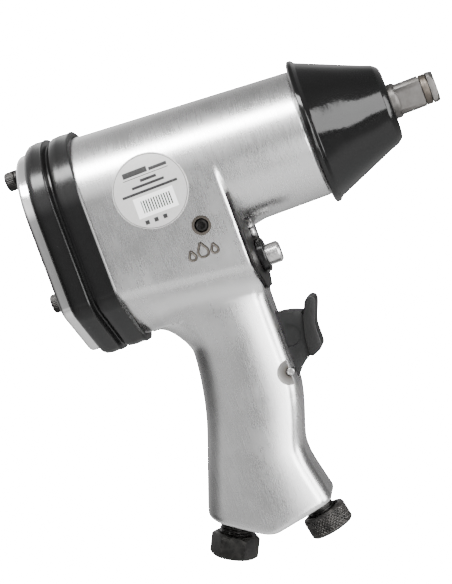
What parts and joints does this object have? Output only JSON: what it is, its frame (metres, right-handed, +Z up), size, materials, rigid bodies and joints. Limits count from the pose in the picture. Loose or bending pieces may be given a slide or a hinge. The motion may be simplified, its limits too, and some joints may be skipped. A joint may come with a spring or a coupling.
{
  "type": "air impact wrench",
  "caption": "Pistol-grip air impact wrench with a half-inch square drive, trigger throttle, reverse valve and air regulator.",
  "frame": {"origin": "centre of the anvil's flat end face, on the drive axis", "axes": "+X along the drive axis, out of the square drive; +Z up; the handle points down (-Z) and the trigger is in front of it"},
  "size_m": [0.1884, 0.0696, 0.2081],
  "materials": {
    "cast_aluminium": "polished",
    "boot_black": "gloss",
    "rib_black": "gloss",
    "bronze": "machined",
    "anvil_steel": "satin",
    "bright_steel": "ground",
    "rubber": "matte",
    "vane_composite": "matte",
    "black_oxide": "satin",
    "knurled_steel": "satin",
    "trigger_plastic": "satin",
    "label_white": "matte"
  },
  "bodies": {
    "housing": {"motor_housing": "cast_aluminium", "rear_cover": "cast_aluminium", "nose_boot": "boot_black", "rear_bumper": "rib_black", "reverse_gland": "rib_black", "anvil_bushing": "bronze", "reverse_sleeve": "bronze", "throttle_bushing": "bronze", "inlet_screen": "bronze", "cylinder_liner": "bright_steel", "front_end_plate": "bright_steel", "rear_end_plate": "bright_steel", "front_bearing_outer_race": "bright_steel", "rear_bearing_outer_race": "bright_steel", "deflector_screw": "bright_steel", "trigger_pin": "bright_steel", "throttle_spring": "bright_steel", "rear_gasket": "rubber", "throttle_seal": "rubber", "exhaust_deflector": "black_oxide", "oil_plug": "black_oxide", "inlet_bushing": "black_oxide", "cover_screw_1": "black_oxide", "cover_screw_2": "black_oxide", "cover_screw_3": "black_oxide", "cover_screw_4": "black_oxide", "spring_washer_1": "black_oxide", "spring_washer_2": "black_oxide", "spring_washer_3": "black_oxide", "spring_washer_4": "black_oxide", "name_label": "label_white"},
    "rotor": {"rotor": "bright_steel", "vane_1": "vane_composite", "vane_2": "vane_composite", "vane_3": "vane_composite", "vane_4": "vane_composite", "vane_5": "vane_composite", "vane_6": "vane_composite", "front_bearing_inner_race": "bright_steel", "rear_bearing_inner_race": "bright_steel", "hammer_cage": "anvil_steel", "hammer_pin": "bright_steel"},
    "front_balls": {"front_bearing_balls": "bright_steel"},
    "rear_balls": {"rear_bearing_balls": "bright_steel"},
    "hammer": {"hammer_dog": "anvil_steel"},
    "anvil": {"anvil": "anvil_steel", "retainer_ring": "bright_steel", "retainer_o_ring": "rubber"},
    "trigger": {"trigger": "trigger_plastic"},
    "throttle": {"throttle_stem": "bright_steel", "throttle_ball": "bright_steel"},
    "reverse": {"reverse_spool": "bright_steel", "spool_seal_1": "rubber", "spool_seal_2": "rubber"},
    "regulator_seat": {"regulator_seal": "rubber"},
    "regulator": {"regulator_stem": "black_oxide", "regulator_knob": "knurled_steel"}
  },
  "joints": [
    {"name": "rotor_spin", "type": "hinge", "parent": "housing", "child": "rotor", "pos_m": [-0.133, 0, 0], "axis": [1, 0, 0], "continuous": true},
    {"name": "front_balls_spin", "type": "hinge", "parent": "housing", "child": "front_balls", "pos_m": [-0.101, 0, 0], "axis": [1, 0, 0], "continuous": true},
    {"name": "rear_balls_spin", "type": "hinge", "parent": "housing", "child": "rear_balls", "pos_m": [-0.1655, 0, 0], "axis": [1, 0, 0], "continuous": true},
    {"name": "hammer_rock", "type": "hinge", "parent": "rotor", "child": "hammer", "pos_m": [-0.0695, 0, 0.0166], "axis": [1, 0, 0], "range_deg": [-3, 3]},
    {"name": "anvil_spin", "type": "hinge", "parent": "housing", "child": "anvil", "pos_m": [-0.04, 0, 0], "axis": [1, 0, 0], "continuous": true},
    {"name": "trigger_pull", "type": "hinge", "parent": "housing", "child": "trigger", "pos_m": [-0.1006, 0, -0.0941], "axis": [0, -1, 0], "range_deg": [0, 12]},
    {"name": "throttle_slide", "type": "slide", "parent": "housing", "child": "throttle", "axis": [-1, 0, 0], "range_m": [0, 0.00295], "stiffness_N_per_m": 60, "springref_m": -0.003, "deforming": ["throttle_spring"]},
    {"name": "reverse_slide", "type": "slide", "parent": "housing", "child": "reverse", "axis": [-1, 0, 0], "range_m": [0, 0.006]},
    {"name": "regulator_travel", "type": "slide", "parent": "housing", "child": "regulator_seat", "axis": [-0.1959, 0, 0.9806], "range_m": [0, 0.00075]},
    {"name": "regulator_turn", "type": "hinge", "parent": "regulator_seat", "child": "regulator", "pos_m": [-0.1104, 0, -0.1562], "axis": [-0.1959, 0, 0.9806], "range_deg": [0, 270]}
  ],
  "couplings": [
    {"joint": "front_balls_spin", "follows": "rotor_spin", "ratio": 0.396},
    {"joint": "rear_balls_spin", "follows": "rotor_spin", "ratio": 0.396},
    {"joint": "trigger_pull", "follows": "throttle_slide", "rad_per_m": 70.9},
    {"joint": "regulator_turn", "follows": "regulator_travel", "rad_per_m": 6283.2}
  ]
}
